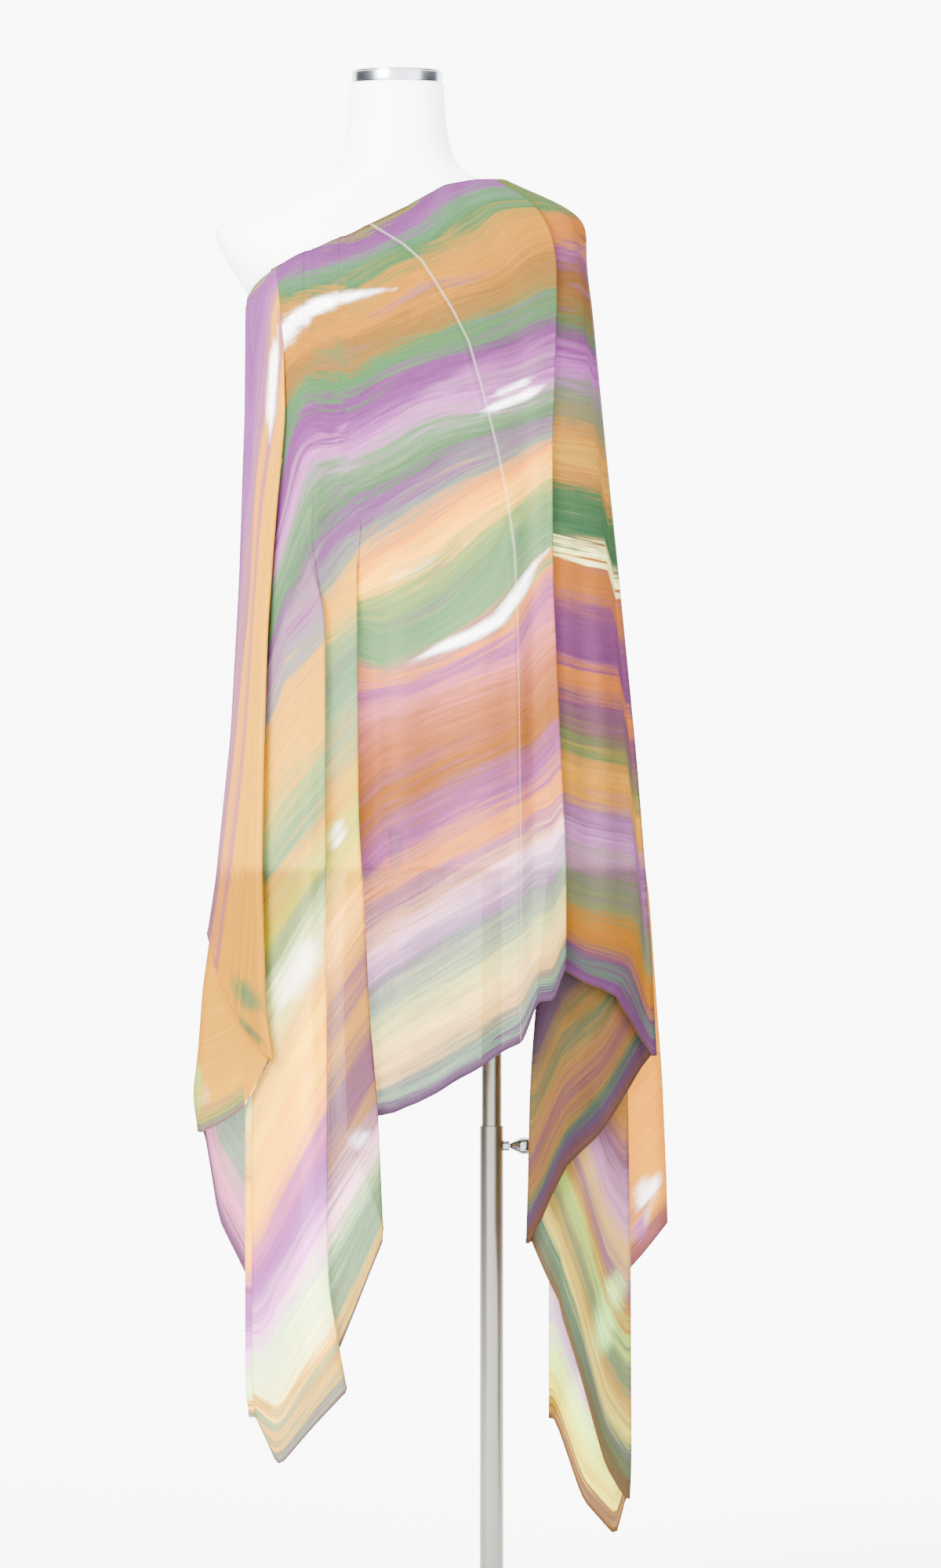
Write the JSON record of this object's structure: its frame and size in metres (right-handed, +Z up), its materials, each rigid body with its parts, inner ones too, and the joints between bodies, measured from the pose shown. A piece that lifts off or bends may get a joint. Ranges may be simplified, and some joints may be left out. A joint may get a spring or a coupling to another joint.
{
  "type": "draped hijab scarf on dress form stand",
  "caption": "Large hand-dyed rectangular scarf fanned and draped over one shoulder of a smooth limbless dress form, which stands on a height-adjustable tube with a clamp knob and a round base.",
  "frame": {"origin": "centre of the base plate's underside, on the floor and on the pole's axis", "axes": "+Z up along the pole, -Y the way the form faces, +X towards the shoulder that the scarf lies over; the form's centre seam is 103 mm to the -X side of the pole"},
  "size_m": [0.5226, 0.4, 1.7113],
  "materials": {
    "scarf_front": "thin voile, hand-dyed in orange, purple, green and rose streaks",
    "scarf_side": "thin voile, hand-dyed, orange and purple",
    "scarf_under": "thin voile, hand-dyed, orange, rose and pale green",
    "scarf_shoulder": "thin voile, hand-dyed, purple, mauve, orange and green",
    "scarf_tail": "thin voile, hand-dyed, green, lilac and purple",
    "scarf_back": "thin voile, hand-dyed, orange",
    "form_cover": "smooth white jersey over a light foam-filled shell",
    "stand_steel": "brushed stainless",
    "chrome_trim": "polished"
  },
  "bodies": {
    "stand": {"base_plate": "stand_steel", "foot_flange": "stand_steel", "outer_tube": "stand_steel", "clamp_boss": "stand_steel"},
    "mast": {"mast": "stand_steel"},
    "form": {"dress_form": "form_cover", "neck_cap": "chrome_trim", "front_panel": "scarf_front", "side_fall": "scarf_side", "under_fall": "scarf_under", "shoulder_fall": "scarf_shoulder", "right_tail": "scarf_tail", "back_fall": "scarf_back"},
    "clamp": {"clamp_screw": "chrome_trim"}
  },
  "joints": [
    {"name": "mast_height", "type": "slide", "parent": "stand", "child": "mast", "axis": [0, 0, 1], "range_m": [-0.08, 0.2]},
    {"name": "form_swivel", "type": "hinge", "parent": "mast", "child": "form", "pos_m": [0, 0, 0.957], "axis": [0, 0, 1], "continuous": true},
    {"name": "clamp_turn", "type": "hinge", "parent": "stand", "child": "clamp", "pos_m": [0.03, 0, 0.54], "axis": [1, 0, 0], "range_deg": [0, 360]}
  ]
}
